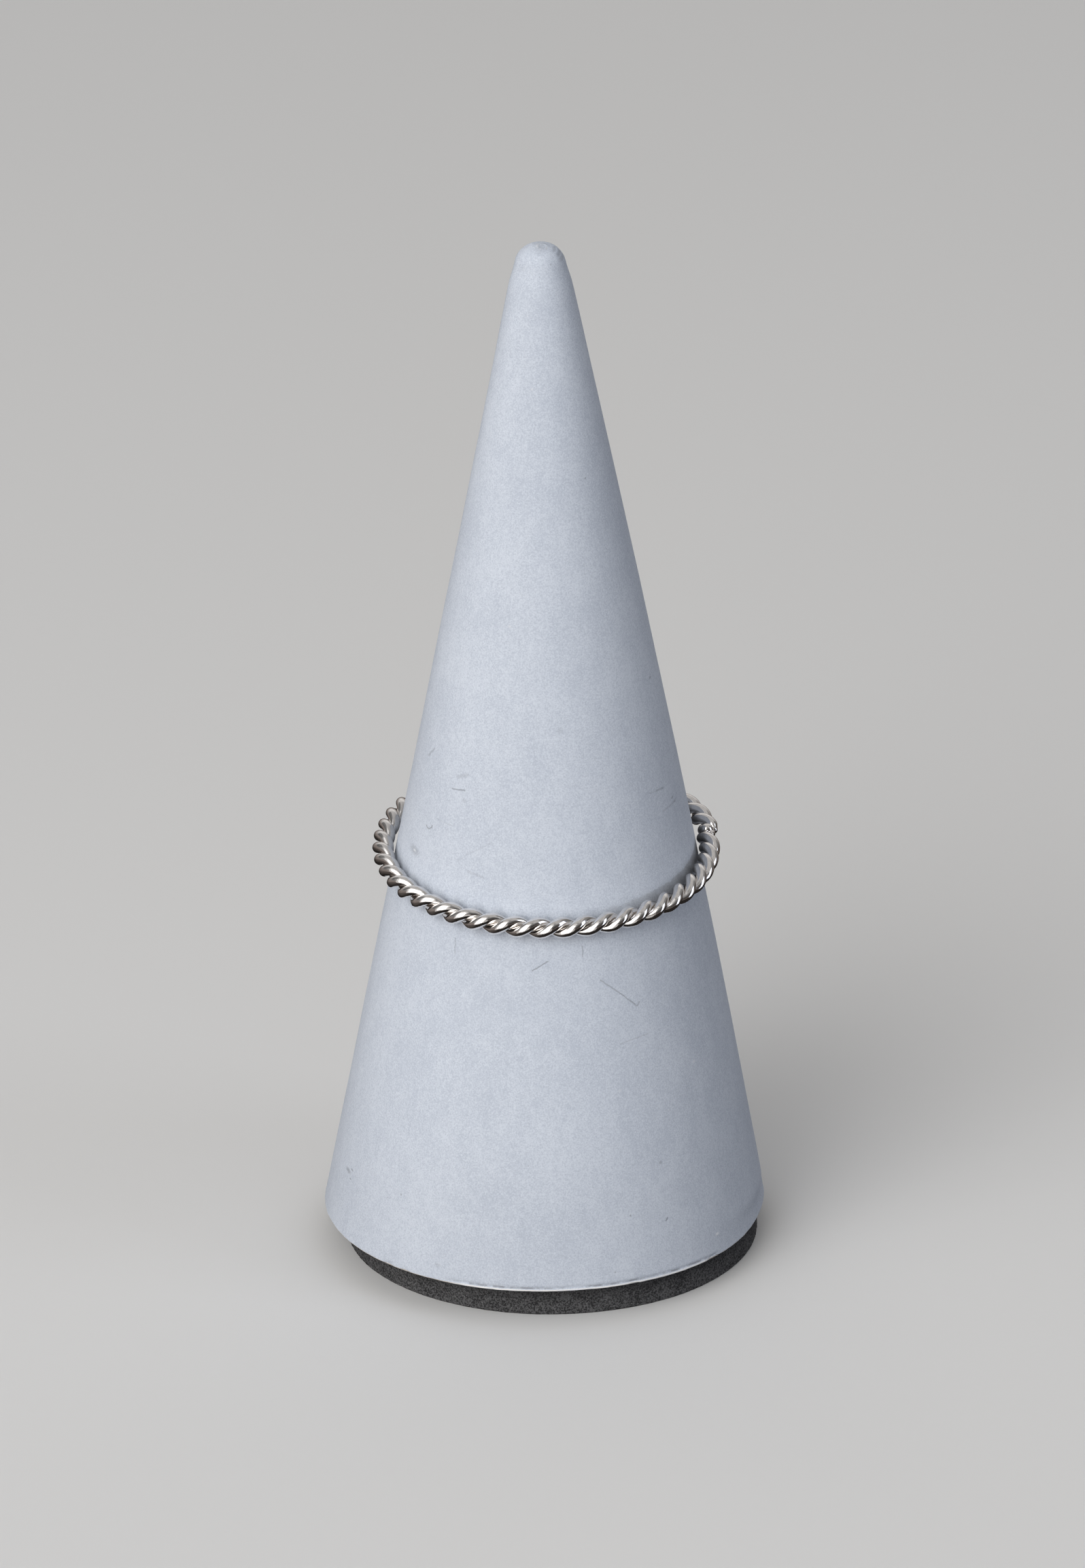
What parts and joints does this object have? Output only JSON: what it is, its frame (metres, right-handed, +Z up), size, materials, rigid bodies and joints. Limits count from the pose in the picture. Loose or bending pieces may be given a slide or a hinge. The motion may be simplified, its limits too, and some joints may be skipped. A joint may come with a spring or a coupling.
{
  "type": "rope twist ring on a ring cone stand",
  "caption": "Finger ring of round silver wires twisted into a rope, hung slightly tilted on a pale cone-shaped ring stand with a dark foam foot pad.",
  "frame": {"origin": "middle of the stand's foot on the surface it stands on, below the cone's axis", "axes": "+Z up along the cone's axis; -Y is the front, towards which the ring tips down; +X is the right-hand side seen from the front, where the ring's solder joint lies"},
  "size_m": [0.0254, 0.0254, 0.0596],
  "materials": {
    "ring_cone": "matt, finely grained cast plaster or concrete, pale blue grey, slightly mottled, with small scratches and pits",
    "foot_pad": "matt dark grey speckled foam",
    "twist_ring": "polished silver"
  },
  "bodies": {
    "root": {"ring_cone": "ring_cone", "foot_pad": "foot_pad", "twist_ring": "twist_ring"}
  },
  "joints": []
}
